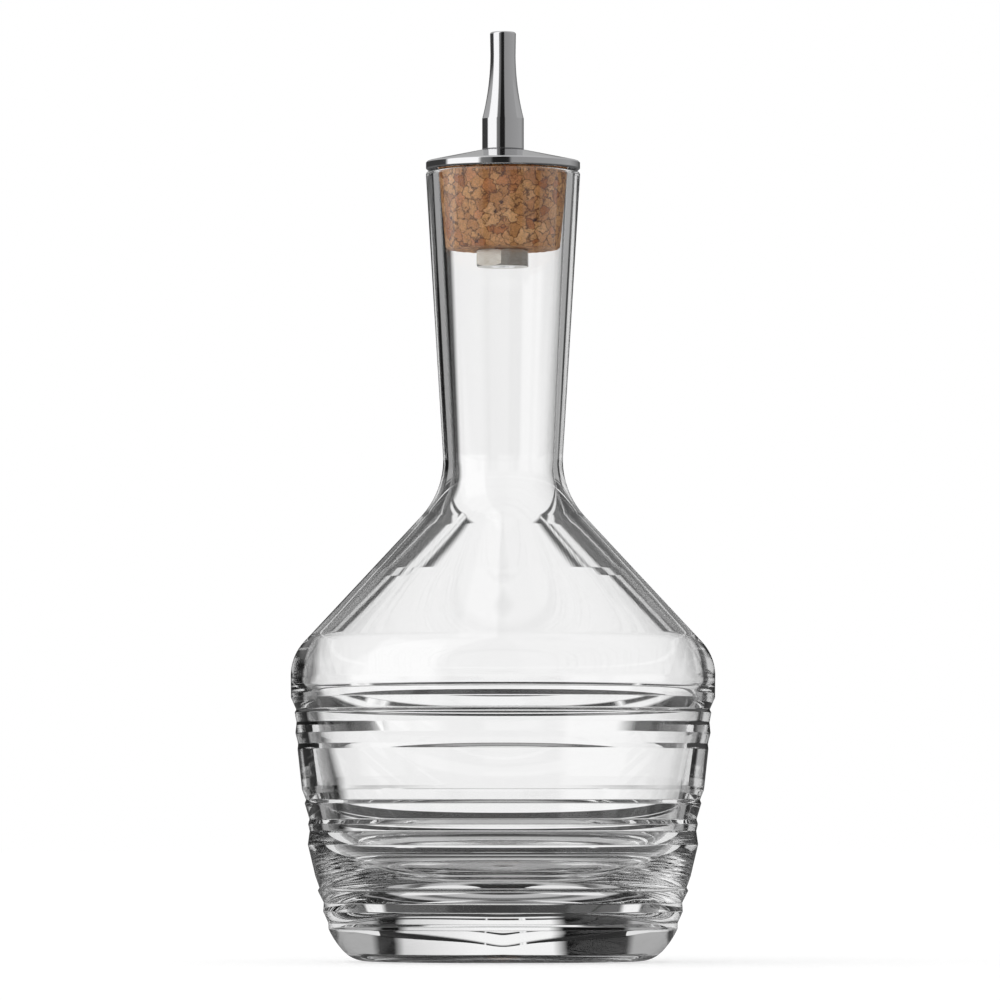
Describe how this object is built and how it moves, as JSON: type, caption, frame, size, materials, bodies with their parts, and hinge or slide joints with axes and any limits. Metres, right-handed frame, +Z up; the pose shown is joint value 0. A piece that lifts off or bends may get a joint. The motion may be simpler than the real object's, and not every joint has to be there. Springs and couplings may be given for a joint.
{
  "type": "bitters bottle",
  "caption": "Clear cut-glass flask with a tall neck, closed by a tapered cork that carries a conical steel cap, a turned pouring spout and a clamping nut.",
  "frame": {"origin": "centre of the foot, on the surface that the bottle stands on", "axes": "+Z up the bottle's axis, from the foot to the spout; +X to the right and +Y away from a viewer in front"},
  "size_m": [0.08, 0.08, 0.1754],
  "materials": {
    "clear_glass": "clear, fire-polished lead-free crystal",
    "cork": "agglomerated cork granules, sanded",
    "polished_steel": "mirror-polished stainless steel",
    "plain_steel": "plain turned stainless steel"
  },
  "bodies": {
    "bottle": {"glass_bottle": "clear_glass"},
    "stopper": {"cork": "cork", "cap_disc": "polished_steel"},
    "spout": {"nozzle": "polished_steel"},
    "nut": {"hex_nut": "plain_steel"}
  },
  "joints": [
    {"name": "stopper_lift", "type": "slide", "parent": "bottle", "child": "stopper", "axis": [0, 0, 1], "range_m": [0, 0.03]},
    {"name": "nozzle_turn", "type": "hinge", "parent": "stopper", "child": "spout", "pos_m": [0, 0, 0.153], "axis": [0, 0, 1], "range_deg": [0, 1440]},
    {"name": "nut_travel", "type": "slide", "parent": "stopper", "child": "nut", "axis": [0, 0, -1], "range_m": [0, 0.0032]}
  ],
  "couplings": [
    {"joint": "nozzle_turn", "follows": "nut_travel", "rad_per_m": 7854}
  ]
}
